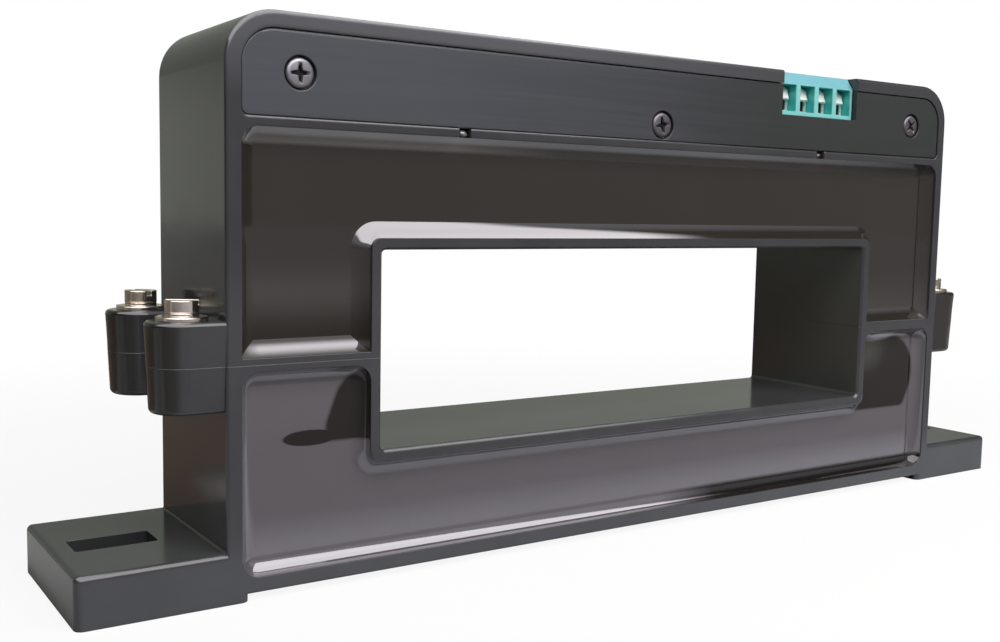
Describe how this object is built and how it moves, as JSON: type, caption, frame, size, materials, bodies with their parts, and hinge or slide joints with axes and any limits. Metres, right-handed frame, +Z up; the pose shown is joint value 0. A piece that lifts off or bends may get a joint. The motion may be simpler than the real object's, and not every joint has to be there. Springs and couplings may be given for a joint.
{
  "type": "hall effect current sensor",
  "caption": "Split-core Hall effect current sensor: two clamped potted housings round a rectangular busbar window, with a terminal block on top and slotted feet.",
  "frame": {"origin": "middle of the feet's underside, which is the bottom centre of the overall box", "axes": "+X along the length, from foot to foot and to the terminal block's side; +Y along the busbar to the back, with the open rims facing -Y; +Z up"},
  "size_m": [0.2956, 0.044, 0.124],
  "materials": {
    "housing": "satin moulded",
    "cover": "satin moulded",
    "resin": "glossy cast",
    "core_steel": "strip wound",
    "chip_plastic": "matte moulded",
    "board_laminate": "lacquered",
    "lead_plastic": "matte",
    "trimmer_plastic": "gloss moulded",
    "can_metal": "satin",
    "resistor_body": "lacquered",
    "terminal_plastic": "satin moulded",
    "terminal_metal": "tin plated",
    "screw_black": "black oxide",
    "bolt_nickel": "nickel plated",
    "insert_brass": "knurled"
  },
  "bodies": {
    "root": {"upper_housing": "housing", "lower_housing": "housing", "terminal_cover": "cover", "upper_potting": "resin", "lower_potting": "resin", "upper_core": "core_steel", "lower_core": "core_steel", "hall_element_left": "chip_plastic", "hall_element_right": "chip_plastic", "hall_board_left": "board_laminate", "hall_board_right": "board_laminate", "hall_lead_left": "lead_plastic", "hall_lead_right": "lead_plastic", "circuit_board": "board_laminate", "amplifier_chip": "chip_plastic", "voltage_regulator": "chip_plastic", "gain_trimmer": "trimmer_plastic", "offset_trimmer": "trimmer_plastic", "smoothing_capacitor_left": "can_metal", "smoothing_capacitor_right": "can_metal", "signal_resistors": "resistor_body", "terminal_block": "terminal_plastic", "terminal_clamps": "terminal_metal", "terminal_screws": "terminal_metal", "cover_screw_left": "screw_black", "cover_screw_middle": "screw_black", "cover_screw_right": "screw_black", "clamp_bolt_left_front": "bolt_nickel", "clamp_bolt_left_rear": "bolt_nickel", "clamp_bolt_right_front": "bolt_nickel", "clamp_bolt_right_rear": "bolt_nickel", "spring_washer_left_front": "bolt_nickel", "spring_washer_left_rear": "bolt_nickel", "spring_washer_right_front": "bolt_nickel", "spring_washer_right_rear": "bolt_nickel", "flat_washer_left_front": "bolt_nickel", "flat_washer_left_rear": "bolt_nickel", "flat_washer_right_front": "bolt_nickel", "flat_washer_right_rear": "bolt_nickel", "thread_insert_left_front": "insert_brass", "thread_insert_left_rear": "insert_brass", "thread_insert_right_front": "insert_brass", "thread_insert_right_rear": "insert_brass"}
  },
  "joints": []
}
